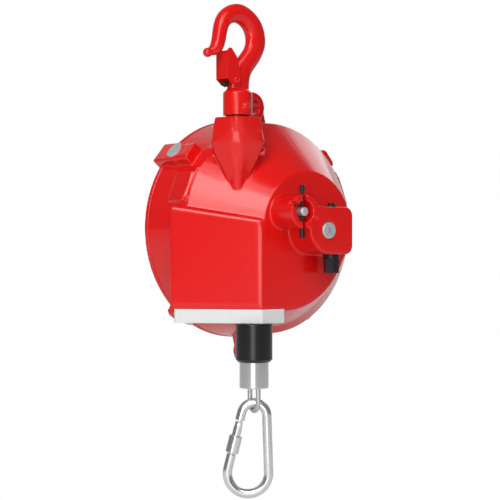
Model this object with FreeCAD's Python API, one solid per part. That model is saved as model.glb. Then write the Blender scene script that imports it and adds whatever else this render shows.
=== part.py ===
"""Spring balancer for hanging tools: swivel hook, cast housing with a conical rope drum, and carabiner.

The pieces are modelled about the drum axis: X runs along it from the rear rim to the worm box, Z is up,
and the rope leaves the drum on its -Y side. At the end every piece is moved so that the saddle of the
hook, where the balancer hangs, is the origin.
"""

import FreeCAD, Part
import math
import os

Vec = FreeCAD.Vector

# ---------------------------------------------------------------------------------------------------
# Driving dimensions, in millimetres
# ---------------------------------------------------------------------------------------------------

# Housing shell
rim_r = 115.0            # rear rim
skirt_r = 109.0          # front end of the drafted skirt
face_r = 56.5            # flat front face
skirt_x = 62.0
face_x = 124.0
wall = 5.0
cover_t = 6.0            # rear cover plate, the joint plane is its front
bulge_r = 82.4           # lower right part of the front face
bulge_y = -30.0
rim_pad_t = 2.0

# Rope-guide box and its plate
box_left_x = 52.4
box_left_y = -119.8
box_right_y = -59.7      # where the slanted front meets the front face
box_left_back_y = -74.0
box_back_x = 100.0
box_bottom_z = -81.0
box_top_left_z = 19.0
box_top_right_z = 4.3
guide_t = 13.8
guide_end_y = -32.0
guide_screw_r = 2.5
guide_screw_spots = ((17, 9), (50, 9), (29, 22.5))    # along the slanted front, and in from it
guide_boss_r = 5.5
guide_boss_h = 14.0

# Hook, swivel and tower
hook_x = 94.2
hook_y = -67.4
tower_yaw = 50.0         # the tower's ridge, turned from -Y towards +X
tower_top_z = 109.0
tower_mid_z = 84.0
tower_tip_z = 36.0
tower_top_half = 22.0
tower_mid_half = 27.5
tower_tip_half = 5.0
tower_front = 18.0
ridge_r = 6.0
stud_r = 6.5
bush_wall = 2.0
stud_end_z = 66.0
washer_t = 2.0
socket_r = 14.0
socket_h = 22.0
socket_chamfer = 3.5
cross_pin_r = 3.75
swivel_pin_r = 3.0
swivel_pin_z = 74.0
hook_t = 16.0            # forging thickness
tip_r = 4.3
neck_half = 11.6
bowl_r = 15.5            # inside of the bowl
bowl_y = -3.0            # bowl centre from the hook axis
saddle_rise = 67.0       # saddle above the neck's lower end
latch_t = 1.3
latch_pivot_y = -9.0
latch_pivot_rise = 8.5   # latch rivet above the neck's lower end
latch_rivet_r = 2.6
latch_coil_r = 2.0
latch_wire_r = 0.6
latch_coil_y = -16.1
latch_coil_pitch = 1.6
latch_coil_turns = 6
latch_lug_r = 4.6

# Ears, cover screws and cross dowels
ear_r = 122.5
ear_root_r = 104.0
ear_w = 20.0
ear_len_upper = 50.0
ear_len_lower = 34.0
ear_upper_deg = 40.0
ear_lower_deg = -49.0
ear_chamfer = 5.0
cover_screw_r = 3.0
cover_screw_circle_r = 115.5
cover_screw_head_r = 5.0
cover_screw_head_h = 6.0
dowel_x = 24.5
dowel_r = 7.0
dowel_head_r = 9.2
dowel_head_h = 1.8
dowel_len = 12.0

# Safety eyes
eye_x = 27.0
eye_t = 9.0
eye_z = 128.0
eye_hole_r = 8.7
eye_outer_r = 15.5

# Drum, spindle and mainspring
wrap_x = 109.0           # the small end of the rope groove
wrap_r = 58.3            # rope centre there
wrap_pitch = 6.7
wrap_turns = 5.5
dead_turns = 2.0         # turns that stay on the drum
rope_r = 2.4
drum_wall = 3.0
barrel_r = 100.0
barrel_x = 14.0          # rear edge of the spring barrel
barrel_front_x = 58.0
web_x = 106.0
web_end_x = 114.0
hub_r = 26.0
bearing_r = 21.0
bearing_w = 12.0
bearing_bore_r = 10.0
spring_cover_t = 4.0
rear_bush_r = 15.0
spindle_r = 9.0
arbor_r = 12.0
spindle_end_r = 6.0
spring_strip = 40.0
spring_t = 1.0
spring_turns = 10
spring_pitch = 7.4
lock_hole_count = 12
lock_hole_r = 5.0

# Drum lock
lock_y = -32.9
lock_z = 15.0
lock_boss_r = 16.9
lock_boss_x = 157.3
lock_recess_r = 10.7
lock_recess = 14.0
lock_pin_r = 4.3
lock_gap = 1.5           # pin to drum web while unlocked
lock_travel = 9.0
bar_from_end = 4.6       # cross bar below the pin's outer end
bar_r = 1.7
bar_half = 26.0
knob_r = 2.7
lock_slot_w = 4.4
park_slot_deg = 60.0
park_slot_depth = 6.0

# Worm box, worm and wheel
worm_box_x = 158.0
worm_box_round = 8.6
worm_box_left_r = 26.8
worm_box_right_y = 28.9
worm_box_top_z = 20.3
gear_module = 1.25
wheel_teeth = 18
wheel_w = 8.0
wheel_x = 140.0
worm_pitch_r = 4.75
worm_turns = 4
gear_backlash = 0.45
worm_shaft_r = 3.7
worm_journal_r = 4.4
worm_collar_r = 8.2
worm_collar_h = 4.4
worm_hex = 14.0          # across flats
worm_hex_h = 14.0
plug_r = 8.2
plug_y = -2.8
plug_z = -3.1
plug_hex = 5.0

# Load line
bumper_r = 18.2
bumper_h = 38.1
ferrule_r = 14.4
ferrule_h = 25.8
loop_half = 9.4
loop_turn = 25.0         # loop plane, turned away from square to the carabiner
loop_bottom_z = -181.5
hang_gap = 0.8           # carabiner above its lowest place in the loop
carabiner_yaw = 52.0
carabiner_tilt = 6.0
wire_r = 4.7
eye_arc_r = 12.6
bow_arc_r = 20.4
arc_gap = 57.2           # from the centre of the upper arc to the centre of the bow
gate_len = 34.0
gate_start = 8.0
gate_r = 4.3
gate_pin_r = 1.5
tongue_t = 3.6
sleeve_r = 6.5
sleeve_len = 17.5
sleeve_up = 1.0          # sleeve's lower end above the gate's
gate_start_to_pin = 4.0

# Clearances
running = 0.05
seat = 0.1
gap = 0.3

# ---------------------------------------------------------------------------------------------------
# Sizes that follow from them
# ---------------------------------------------------------------------------------------------------

cone_slope = (skirt_r - face_r) / (face_x - skirt_x)
skirt_slope = (rim_r - skirt_r) / skirt_x
guide_bottom_z = box_bottom_z - guide_t
front_len = math.hypot(face_x - box_left_x, box_right_y - box_left_y)
front_dir = Vec((face_x - box_left_x) / front_len, (box_right_y - box_left_y) / front_len, 0)
inward = Vec(-front_dir.y, front_dir.x, 0)
rope_y = -wrap_r
socket_z = tower_top_z + washer_t
neck_z = socket_z + socket_h + socket_chamfer
saddle_z = neck_z + saddle_rise
inner_face_x = face_x - wall
bumper_top_z = guide_bottom_z - gap
bumper_bottom_z = bumper_top_z - bumper_h
ferrule_bottom_z = bumper_bottom_z - ferrule_h
wheel_pitch_r = gear_module * wheel_teeth / 2
worm_y = wheel_pitch_r + worm_pitch_r
worm_pitch = gear_module * math.pi
lock_circle_r = math.hypot(lock_y, lock_z)
front_bush_r = wheel_pitch_r + gear_module + 1.0
worm_bush_r = worm_pitch_r + gear_module + 1.0
tower_bush_r = stud_r + bush_wall
bush_end_z = swivel_pin_z + swivel_pin_r + 1.5
dowel_floor_r = ear_r - dowel_len
rear_bush_hole_r = spindle_r + 4
circlip_x = wheel_x + wheel_w / 2 + 1
latch_pivot_z = neck_z + latch_pivot_rise
cross_pin_z = socket_z + 8.5
origin = Vec(hook_x, hook_y, saddle_z)


def housing_r(x):
    """Outer radius of the housing's round shell at x."""
    if x < skirt_x:
        return rim_r - skirt_slope * x
    return skirt_r - cone_slope * (x - skirt_x)


def rope_wrap_r(x):
    """Radius of the rope's centre on the drum at x."""
    return wrap_r + (wrap_x - x) * cone_slope


# ---------------------------------------------------------------------------------------------------
# Small helpers
# ---------------------------------------------------------------------------------------------------

def cyl_x(r, x0, x1, y=0.0, z=0.0):
    return Part.makeCylinder(r, x1 - x0, Vec(x0, y, z), Vec(1, 0, 0))


def cyl_z(r, z0, z1, x=0.0, y=0.0):
    return Part.makeCylinder(r, z1 - z0, Vec(x, y, z0), Vec(0, 0, 1))


def block(x0, x1, y0, y1, z0, z1):
    return Part.makeBox(x1 - x0, y1 - y0, z1 - z0, Vec(x0, y0, z0))


def revolve_x(profile):
    """Turns a closed profile of (x, r) points about the X axis."""
    points = [Vec(x, 0, r) for x, r in profile]
    face = Part.Face(Part.makePolygon(points + points[:1]))
    return face.revolve(Vec(0, 0, 0), Vec(1, 0, 0), 360)


def revolve_z(profile, x=0.0, y=0.0):
    """Turns a closed profile of (r, z) points about the vertical axis at x, y."""
    points = [Vec(r, 0, z) for r, z in profile]
    face = Part.Face(Part.makePolygon(points + points[:1]))
    solid = face.revolve(Vec(0, 0, 0), Vec(0, 0, 1), 360)
    solid.translate(Vec(x, y, 0))
    return solid


def prism_z(points, z0, z1):
    """A vertical prism on a closed outline of (x, y) points."""
    corners = [Vec(x, y, z0) for x, y in points]
    return Part.Face(Part.makePolygon(corners + corners[:1])).extrude(Vec(0, 0, z1 - z0))


def prism_x(points, x0, x1):
    """A prism along X on a closed outline of (y, z) points."""
    corners = [Vec(x0, y, z) for y, z in points]
    return Part.Face(Part.makePolygon(corners + corners[:1])).extrude(Vec(x1 - x0, 0, 0))


def ring_section(centre, across, along, r, sides):
    """A regular polygon inside a circle of radius r, in the plane of two square unit vectors."""
    corners = []
    for i in range(sides):
        a = 2 * math.pi * i / sides
        corners.append(centre + across * (r * math.cos(a)) + along * (r * math.sin(a)))
    return Part.makePolygon(corners + corners[:1])


def circle_x(r, x, y=0.0, z=0.0):
    return Part.Wire(Part.makeCircle(r, Vec(x, y, z), Vec(1, 0, 0)))


def loft(*wires):
    return Part.makeLoft(list(wires), True, True)


def hexagon(across, axis_x=True):
    """Corner points of a hexagon by its width across the flats."""
    r = across / math.sqrt(3)
    return [(r * math.cos(math.radians(60 * i + 30)), r * math.sin(math.radians(60 * i + 30)))
            for i in range(6)]


def turned(shape, degrees, axis, centre=None):
    copy = shape.copy()
    copy.rotate(centre or Vec(0, 0, 0), axis, degrees)
    return copy


def moved(shape, x=0.0, y=0.0, z=0.0):
    copy = shape.copy()
    copy.translate(Vec(x, y, z))
    return copy


def fuse(*shapes):
    return shapes[0].fuse(list(shapes[1:])).removeSplitter()


def shell_x(outer_r, inner_r, x0, x1):
    return cyl_x(outer_r, x0, x1).cut(cyl_x(inner_r, x0, x1))


# ---------------------------------------------------------------------------------------------------
# Front housing: one casting with cone, box, tower, worm box, lock boss, ears and safety eyes
# ---------------------------------------------------------------------------------------------------

def box_outline(inset):
    """Plan of the rope-guide box: a slanted front, a right end and a left end beside the lower ear."""
    front = Vec(box_left_x, box_left_y, 0) + inward * inset
    left, right = box_left_x + inset, face_x - inset
    y_left = front.y + (left - front.x) * front_dir.y / front_dir.x
    y_right = front.y + (right - front.x) * front_dir.y / front_dir.x
    back_y = guide_end_y - inset
    return [(left, y_left), (right, y_right), (right, back_y), (box_back_x, back_y), (left, box_left_back_y)]


def slope_cut():
    """Removes what stands above the box's sloping top edge."""
    left = Vec(box_left_x - 60, -200, box_top_left_z)
    fall = (box_top_right_z - box_top_left_z) / (face_x - box_left_x)
    points = [(left.x, box_top_left_z - 60 * -fall), (face_x + 60, box_top_right_z + 60 * fall),
              (face_x + 60, 120), (left.x, 120)]
    corners = [Vec(x, -200, z) for x, z in points]
    return Part.Face(Part.makePolygon(corners + corners[:1])).extrude(Vec(0, 400, 0))


def in_front_of_box(offset):
    """Everything in front of the box's slanted front plane, moved inwards by offset."""
    start = Vec(box_left_x, box_left_y, -200) + front_dir * -200 + inward * offset
    corners = [start, start + front_dir * 500, start + front_dir * 500 - inward * 200, start - inward * 200]
    return Part.Face(Part.makePolygon(corners + corners[:1])).extrude(Vec(0, 0, 400))


def round_shell(inset, x0, x1):
    """The round body and the lower right bulge, inset by a wall."""
    body = revolve_x([(x0, 0), (x0, housing_r(x0) - inset), (skirt_x, skirt_r - inset),
                      (x1, housing_r(x1) - inset * math.hypot(1, cone_slope)), (x1, 0)])
    bulge = loft(circle_x(skirt_r - inset - 3, skirt_x - 4),
                 circle_x(bulge_r - inset, x1, bulge_y * (x1 - skirt_x) / (face_x - skirt_x)))
    lower = bulge.common(block(0, 200, -200, 200, -200, 0))
    lower = lower.cut(in_front_of_box(inset))
    return fuse(body, lower)


def ear(angle, length, start=0.0):
    """A screw boss along the skirt, square to the radius at angle above +Y."""
    half = ear_w / 2
    section = [(ear_root_r, -half), (ear_r - ear_chamfer / 2, -half), (ear_r, -half + ear_chamfer / 2),
               (ear_r, half - ear_chamfer / 2), (ear_r - ear_chamfer / 2, half), (ear_root_r, half)]
    return turned(prism_x(section, start, length), angle, Vec(1, 0, 0))


def ear_angles():
    """Each ear's angle from +Y and its length."""
    return [(180 - ear_upper_deg, ear_len_upper), (ear_upper_deg, ear_len_upper),
            (180 - ear_lower_deg, ear_len_lower), (ear_lower_deg, ear_len_lower)]


def safety_eye(sign):
    """An upright lug with a round hole, above or below the skirt."""
    x0 = eye_x - eye_t / 2
    root = housing_r(eye_x) - wall + 1
    disc = cyl_x(eye_outer_r, x0, x0 + eye_t, 0, sign * eye_z)
    foot = eye_outer_r + 5
    side = prism_x([(-eye_outer_r, sign * eye_z), (eye_outer_r, sign * eye_z),
                    (foot, sign * root), (-foot, sign * root)], x0, x0 + eye_t)
    return fuse(disc, side).cut(cyl_x(eye_hole_r, x0, x0 + eye_t, 0, sign * eye_z))


def tower_section(z, half, front, back, flat):
    corners = [(-half, back), (-half, front - 0.55 * half), (-flat, front), (flat, front),
               (half, front - 0.55 * half), (half, back)]
    return Part.makePolygon([Vec(u, -v, z) for u, v in corners + corners[:1]])


def tower():
    """Corbel under the hook: upright above, running down to a rounded tip on the cone."""
    top = tower_section(tower_top_z, tower_top_half, tower_front, -20, ridge_r)
    middle = tower_section(tower_mid_z, tower_mid_half, tower_front - 2, -26, ridge_r)
    tip = tower_section(tower_tip_z, tower_tip_half, 1.0, -26, tower_tip_half * 0.6)
    ridge_top = Vec(0, -(tower_front - ridge_r + 2.5), tower_top_z)
    ridge_low = Vec(0, -(1.0 - ridge_r + 3.0), tower_tip_z)
    ridge = Part.makeCylinder(ridge_r, (ridge_top - ridge_low).Length, ridge_low, ridge_top - ridge_low)
    above = block(-100, 100, -100, 100, tower_top_z, tower_top_z + 50)
    solid = fuse(loft(middle, top), loft(tip, middle), ridge).cut(above)
    return moved(turned(solid, tower_yaw, Vec(0, 0, 1)), hook_x, hook_y)


def worm_box(inset):
    """The worm box in plan: a disc about the spindle, squared off to the right of it."""
    end = worm_box_x - inset
    start = face_x - wall if inset == 0 else inner_face_x + wall
    r = worm_box_left_r - inset
    right, top = worm_box_right_y - inset, worm_box_top_z - inset
    square = block(start, end, 0, right, -r, top)
    corners = [e for e in square.Edges
               if abs(e.Vertexes[0].Y - right) < 1e-6 and abs(e.Vertexes[1].Y - right) < 1e-6
               and abs(e.Vertexes[0].Z - e.Vertexes[1].Z) < 1e-6]
    square = square.makeFillet(max(worm_box_round - inset, 1.0), corners)
    disc = cyl_x(r, start, end)
    solid = fuse(square, disc)
    return solid.cut(block(start - 1, end + 1, -2 * r, 2 * r, top, 2 * r))


def rim_pads():
    """Low pads on the skirt between the ears and the middle of each side."""
    ring = shell_x(housing_r(skirt_x) + rim_pad_t, housing_r(skirt_x) - 2, 35, skirt_x)
    pads = []
    for low, high in ((16, 34), (180 - 34, 180 - 16)):
        a, b = math.radians(low), math.radians(high)
        wedge = prism_x([(0, 0), (200 * math.cos(a), 200 * math.sin(a)),
                         (200 * math.cos(b), 200 * math.sin(b))], 0, 100)
        pads.append(ring.common(wedge))
    return pads


def make_front_housing():
    outer = round_shell(0, cover_t, face_x)
    box = prism_z(box_outline(0), box_bottom_z, 60).cut(slope_cut())
    outer = fuse(outer, box)
    for angle, length in ear_angles():
        outer = outer.fuse(ear(angle, length, cover_t))
    for pad in rim_pads():
        outer = outer.fuse(pad)
    outer = outer.fuse([safety_eye(1), safety_eye(-1), tower(), worm_box(0),
                        cyl_x(lock_boss_r, inner_face_x, lock_boss_x, lock_y, lock_z)])

    inside = round_shell(wall, cover_t, inner_face_x)
    inner_box = prism_z(box_outline(wall), box_bottom_z, 60).cut(moved(slope_cut(), z=-wall))
    cavity = fuse(inside, inner_box)
    register_r = housing_r(cover_t) - wall
    cavity = cavity.fuse(cyl_x(register_r, cover_t, cover_t + 4))
    landing = prism_z(box_outline(0), guide_bottom_z - 20, box_bottom_z)
    solid = outer.cut(cavity).cut(landing)

    spindle_hub = cyl_x(hub_r - 4, web_end_x + gap * 4, inner_face_x + 1)
    lock_hub = cyl_x(lock_pin_r + 4, web_end_x + lock_gap, inner_face_x + 1, lock_y, lock_z)
    bosses = [cyl_z(guide_boss_r, box_bottom_z, box_bottom_z + guide_boss_h, x, y)
              for x, y in guide_screw_places()]
    solid = solid.fuse([spindle_hub, lock_hub] + bosses)

    holes = [cyl_x(front_bush_r, 100, face_x + 1), worm_box(wall),
             cyl_z(worm_shaft_r + running, 0, 40, wheel_x, worm_y),
             cyl_z(worm_bush_r, -40, 0, wheel_x, worm_y),
             cyl_x(lock_pin_r + running, 100, lock_boss_x, lock_y, lock_z),
             cyl_x(lock_recess_r, lock_boss_x - lock_recess, lock_boss_x, lock_y, lock_z),
             cyl_x(plug_r * 0.55, worm_box_x - 10, worm_box_x, plug_y, plug_z),
             cyl_x(plug_r + seat, worm_box_x - 2, worm_box_x, plug_y, plug_z),
             cyl_z(tower_bush_r, bush_end_z, tower_top_z, hook_x, hook_y),
             cyl_z(stud_r + gap, stud_end_z - gap, tower_top_z, hook_x, hook_y),
             swivel_pin_shape(seat / 2)]
    slot_deep = lock_travel + bar_from_end + bar_r + gap
    slots = [lock_slot(90, slot_deep), lock_slot(90 + park_slot_deg, park_slot_depth)]
    for angle, length in ear_angles():
        y = cover_screw_circle_r * math.cos(math.radians(angle))
        z = cover_screw_circle_r * math.sin(math.radians(angle))
        holes.append(cyl_x(cover_screw_r + seat, 0, length + 1, y, z))
        holes.append(turned(Part.makeCylinder(dowel_r + seat, 60, Vec(dowel_x, dowel_floor_r, 0), Vec(0, 1, 0)),
                            angle, Vec(1, 0, 0)))
    for x, y in guide_screw_places():
        holes.append(cyl_z(guide_screw_r, box_bottom_z - 1, box_bottom_z + 12, x, y))
    for hole in holes + slots:
        solid = solid.cut(hole)
    return solid.removeSplitter()


def lock_slot(angle, depth):
    """A slot across the rim of the lock boss, through both sides, turned about the pin."""
    slot = block(lock_boss_x - depth, lock_boss_x + 1, -lock_boss_r - 1, lock_boss_r + 1,
                 -lock_slot_w / 2, lock_slot_w / 2)
    return moved(turned(slot, angle, Vec(1, 0, 0)), 0, lock_y, lock_z)


def swivel_pin_shape(extra=0.0):
    """The pin across the tower that runs in the stud's groove, behind the stud."""
    r = swivel_pin_r + extra
    pin = Part.makeCylinder(r, tower_mid_half + 22, Vec(-22, stud_r, swivel_pin_z), Vec(1, 0, 0))
    return moved(turned(pin, tower_yaw, Vec(0, 0, 1)), hook_x, hook_y)


def guide_screw_places():
    """The plate's screws, in bosses along the box's walls and clear of the bumper."""
    places = []
    for along, deep in guide_screw_spots:
        p = Vec(box_left_x, box_left_y, 0) + front_dir * along + inward * deep
        places.append((p.x, p.y))
    return places


# ---------------------------------------------------------------------------------------------------
# Rear cover, screws and cross dowels
# ---------------------------------------------------------------------------------------------------

def make_rear_cover():
    hub_end = cover_t + 2
    dome_r = rim_r - 22
    back = -12.0
    solid = revolve_x([(0, 0), (0, rim_r), (cover_t, rim_r), (cover_t, 0)])
    dome = revolve_x([(0, 0), (0, dome_r), (back, dome_r - 12), (back, 0)])
    hollow = revolve_x([(cover_t, 0), (cover_t, dome_r - wall), (back + wall, dome_r - 12 - wall),
                        (back + wall, 0)])
    register_r = housing_r(cover_t) - wall - seat
    spigot = shell_x(register_r, register_r - wall + 1, cover_t, cover_t + 4 - seat)
    solid = fuse(solid, dome).cut(hollow)
    solid = fuse(solid, spigot, cyl_x(hub_r - 4, back, hub_end))
    for angle, length in ear_angles():
        solid = solid.fuse(ear(angle, cover_t))
    solid = solid.cut(cyl_x(rear_bush_hole_r, back + wall, hub_end))
    for y, z in cover_screw_places():
        solid = solid.cut(cyl_x(cover_screw_r + seat, 0, cover_t, y, z))
    return solid.removeSplitter()


def cover_screw_places():
    places = []
    for angle, length in ear_angles():
        a = math.radians(angle)
        places.append((cover_screw_circle_r * math.cos(a), cover_screw_circle_r * math.sin(a)))
    return places


def make_cover_gasket():
    inner = housing_r(cover_t) - wall
    return shell_x(inner + wall - 1, inner + 0.5, cover_t, cover_t + gasket_t)


def socket_screw(r, length, head_r, head_h, x, y, z, direction=1):
    """A hexagon socket screw along X with its head at x."""
    head = Part.makeCylinder(head_r, head_h, Vec(0, 0, 0), Vec(-1, 0, 0))
    shank = Part.makeCylinder(r, length, Vec(0, 0, 0), Vec(1, 0, 0))
    socket = prism_x(hexagon(r * 1.6), -head_h, -head_h * 0.45)
    screw = fuse(head, shank).cut(socket)
    if direction < 0:
        screw = turned(screw, 180, Vec(0, 0, 1))
    return moved(screw, x, y, z)


def make_cover_screws():
    return [socket_screw(cover_screw_r, dowel_x + dowel_r + 2, cover_screw_head_r, cover_screw_head_h, 0, y, z)
            for y, z in cover_screw_places()]


def make_ear_dowels():
    dowels = []
    for angle, length in ear_angles():
        body = Part.makeCylinder(dowel_r, dowel_len, Vec(dowel_x, dowel_floor_r, 0), Vec(0, 1, 0))
        head = Part.makeCylinder(dowel_head_r, dowel_head_h, Vec(dowel_x, ear_r, 0), Vec(0, 1, 0))
        dowel = fuse(body, head)
        dowel = dowel.cut(cyl_x(cover_screw_r + seat / 2, 0, 60, cover_screw_circle_r, 0))
        dowels.append(turned(dowel, angle, Vec(1, 0, 0)))
    return dowels


# ---------------------------------------------------------------------------------------------------
# Guide plate
# ---------------------------------------------------------------------------------------------------

def rope_slot(half):
    """The slot that the rope wanders along as the drum unwinds."""
    end_x = wrap_x - wrap_pitch * (wrap_turns - dead_turns)
    start = Vec(wrap_x, -wrap_r, guide_bottom_z - 1)
    end = Vec(end_x, -rope_wrap_r(end_x), guide_bottom_z - 1)
    along = end - start
    along.normalize()
    side = Vec(-along.y, along.x, 0) * half
    corners = [start + side, end + side, end - side, start - side]
    slot = Part.Face(Part.makePolygon(corners + corners[:1])).extrude(Vec(0, 0, guide_t + 2))
    ends = [Part.makeCylinder(half, guide_t + 2, p) for p in (start, end)]
    return fuse(slot, *ends)


def make_guide_plate():
    plate = prism_z(box_outline(0), guide_bottom_z, box_bottom_z)
    front_edges = [e for e in plate.Edges
                   if abs(e.Vertexes[0].X - e.Vertexes[1].X) < 1e-6
                   and abs(e.Vertexes[0].Y - e.Vertexes[1].Y) < 1e-6
                   and e.Vertexes[0].Y < box_right_y + 1]
    plate = plate.makeFillet(3.0, front_edges)
    plate = plate.cut(rope_slot(rope_r + 1.2))
    for x, y in guide_screw_places():
        plate = plate.cut(cyl_z(guide_screw_r + seat, guide_bottom_z, box_bottom_z, x, y))
        plate = plate.cut(cyl_z(2 * guide_screw_r + seat, guide_bottom_z, guide_bottom_z + 4, x, y))
    return plate


def make_guide_screws():
    screws = []
    for x, y in guide_screw_places():
        top = box_bottom_z + 9
        shank = cyl_z(guide_screw_r - seat / 2, guide_bottom_z + 4, top, x, y)
        head = cyl_z(2 * guide_screw_r, guide_bottom_z + 0.5, guide_bottom_z + 4, x, y)
        socket = prism_z([(x + a, y + b) for a, b in hexagon(guide_screw_r * 1.4)],
                         guide_bottom_z + 0.5, guide_bottom_z + 2.5)
        screws.append(fuse(shank, head).cut(socket))
    return screws


# ---------------------------------------------------------------------------------------------------
# Hook, latch and swivel
# ---------------------------------------------------------------------------------------------------

def hook_sections():
    """The forging's (outer, inner) edge points from the neck to the tip: y from the axis, z from the neck."""
    lean = math.sqrt(0.5) * bowl_r
    bowl_z = saddle_rise - bowl_r
    return [((neck_half, -4), (-neck_half, -4)), ((neck_half + 0.6, 12), (-neck_half, 12)),
            ((20.5, 26.5), (-3.0, 30.5)), ((27.6, 42), (9.0, 42)), ((27.5, 58), (bowl_y + bowl_r, bowl_z + 1)),
            ((21.5, 74), (bowl_y + lean, bowl_z + lean)), ((0, saddle_rise + 18.4), (bowl_y, saddle_rise)),
            ((-20, 74), (bowl_y - lean, bowl_z + lean)), ((-26.5, 54), (bowl_y - bowl_r, bowl_z)),
            ((-31, 43.6), (-20.5, 38)), ((-38.3, 41.4), (-36.6, 33.2))]


def hook_section(outer, inner):
    """One oval section of the forging, across the chord between its two edge points."""
    centre = (outer + inner) / 2
    across = (outer - inner) / 2
    thick = min(hook_t / 2, across.Length)
    corners = []
    for i in range(12):
        a = math.pi * i / 6
        side = math.copysign(abs(math.sin(a)) ** 0.8, math.sin(a))
        corners.append(centre + across * math.cos(a) + Vec(thick * side, 0, 0))
    return Part.makePolygon(corners + corners[:1])


def edge_curve(points):
    """A smooth curve through the (y, z) edge points, one unit of its parameter from each to the next."""
    curve = Part.BSplineCurve()
    curve.interpolate(Points=[Vec(hook_x, hook_y + y, neck_z + z) for y, z in points],
                      Parameters=[float(i) for i in range(len(points))])
    return curve


def make_hook():
    pairs = hook_sections()
    outer = edge_curve([pair[0] for pair in pairs])
    inner = edge_curve([pair[1] for pair in pairs])
    stops = [i / 3 for i in range(3 * len(pairs) - 2)]
    forging = loft(*[hook_section(outer.value(t), inner.value(t)) for t in stops])
    tip = Part.makeSphere(tip_r, Vec(hook_x, hook_y - 38.3, neck_z + 37.3))
    lug = cyl_x(latch_lug_r, hook_x - hook_t / 2, hook_x + hook_t / 2, hook_y + latch_pivot_y, latch_pivot_z)
    socket = revolve_z([(0, socket_z), (socket_r, socket_z), (socket_r, socket_z + socket_h),
                        (socket_r - socket_chamfer, neck_z), (0, neck_z)], hook_x, hook_y)
    solid = fuse(forging, tip, lug, socket)
    solid = solid.cut(cyl_z(stud_r + seat / 2, socket_z, socket_z + socket_h - 3, hook_x, hook_y))
    solid = solid.cut(cyl_x(cross_pin_r + seat / 2, hook_x - 30, hook_x + 30, hook_y, cross_pin_z))
    return solid.cut(cyl_x(latch_rivet_r + seat / 2, hook_x - 30, hook_x + 30, hook_y + latch_pivot_y,
                           latch_pivot_z))


def make_hook_latch():
    """Bent sheet latch: a web across the throat and a side plate on each face of the hook."""
    inner = hook_t / 2 + gap
    outer = inner + latch_t
    low, high = latch_pivot_z, neck_z + 39.7
    front = -19.5
    side = [(front, low + 1), (front, high - 2.5), (front + 2, high), (-14.6, high), (-8, high - 8.2),
            (-3.2, low + 5), (-3.2, low), (-5, low - 4.6), (-9, low - 5.8), (-13, low - 4.4)]
    plates = [prism_x([(hook_y + y, z) for y, z in side], hook_x + a, hook_x + b)
              for a, b in ((inner, outer), (-outer, -inner))]
    web = block(hook_x - outer, hook_x + outer, hook_y + front, hook_y + front + latch_t, low + 1, high - 2.5)
    latch = fuse(web, *plates)
    hole = cyl_x(latch_rivet_r + running, hook_x - 30, hook_x + 30, hook_y + latch_pivot_y, latch_pivot_z)
    return latch.cut(hole)


def make_latch_rivet():
    half = hook_t / 2 + 2 * gap + latch_t
    y = hook_y + latch_pivot_y
    shank = cyl_x(latch_rivet_r, hook_x - half, hook_x + half, y, latch_pivot_z)
    heads = [revolve_x([(half, 0), (half, 3.5), (half + 1, 3.2), (half + 1.8, 1.8), (half + 2, 0)])]
    heads.append(turned(heads[0], 180, Vec(0, 0, 1)))
    return fuse(shank, *[moved(h, hook_x, y, latch_pivot_z) for h in heads])


def make_latch_spring():
    """Closed coil across the hook's throat, between the hook and the latch's web."""
    steps = 12
    sections = []
    for i in range(latch_coil_turns * steps + 1):
        a = 2 * math.pi * i / steps
        out = Vec(0, math.cos(a), math.sin(a))
        centre = Vec(latch_coil_pitch * i / steps, 0, 0) + out * latch_coil_r
        sections.append(ring_section(centre, out, Vec(1, 0, 0), latch_wire_r, 6))
    spring = loft(*sections)
    length = latch_coil_pitch * latch_coil_turns
    return moved(spring, hook_x - length / 2, hook_y + latch_coil_y, latch_pivot_z - 3)


def make_swivel_stud():
    """Plain stud with a groove that the swivel pin runs in."""
    top = socket_z + socket_h - 3 - seat
    half = swivel_pin_r + running
    low, high = swivel_pin_z - half, swivel_pin_z + half
    stud = revolve_z([(0, stud_end_z), (stud_r, stud_end_z), (stud_r, low), (stud_r - half, low),
                      (stud_r - half, high), (stud_r, high), (stud_r, top), (0, top)], hook_x, hook_y)
    return stud.cut(cyl_x(cross_pin_r + seat / 2, hook_x - 30, hook_x + 30, hook_y, cross_pin_z))


def make_socket_cross_pin():
    half = socket_r
    pin = cyl_x(cross_pin_r, -half, half)
    dome = revolve_x([(half, 0), (half, cross_pin_r), (half + 0.7, cross_pin_r - 0.5),
                      (half + 1.2, cross_pin_r - 1.6), (half + 1.2, 0)])
    other = turned(dome, 180, Vec(0, 0, 1))
    return moved(fuse(pin, dome, other), hook_x, hook_y, cross_pin_z)


def make_thrust_washer():
    washer = cyl_z(socket_r - 2, tower_top_z, socket_z - seat).cut(cyl_z(stud_r + running, tower_top_z, socket_z))
    return moved(washer, hook_x, hook_y)


def make_tower_bush():
    bush = cyl_z(tower_bush_r - seat / 2, bush_end_z, tower_top_z)
    return moved(bush.cut(cyl_z(stud_r + running, bush_end_z, tower_top_z)), hook_x, hook_y)


def make_swivel_pin():
    return swivel_pin_shape()


# ---------------------------------------------------------------------------------------------------
# Drum, rope and mainspring
# ---------------------------------------------------------------------------------------------------

def spiral_point(turn):
    """The rope's centre on the drum, so many turns back from where it leaves."""
    a = 2 * math.pi * turn
    x = wrap_x - wrap_pitch * turn
    r = rope_wrap_r(x)
    return Vec(x, -r * math.cos(a), r * math.sin(a))


def make_rope_windings():
    """The rope on the drum: six-sided sections in planes through the drum axis, lofted along the spiral."""
    steps = 24
    reach = 1 / math.cos(math.pi / steps)
    sections = []
    for i in range(int(wrap_turns * steps) + 1):
        p = spiral_point(i / steps)
        out = Vec(0, p.y, p.z)
        out.normalize()
        centre = Vec(p.x, 0, 0) + out * (math.hypot(p.y, p.z) * reach)
        sections.append(ring_section(centre, out, Vec(1, 0, 0), rope_r, 6))
    return loft(*sections)


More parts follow.
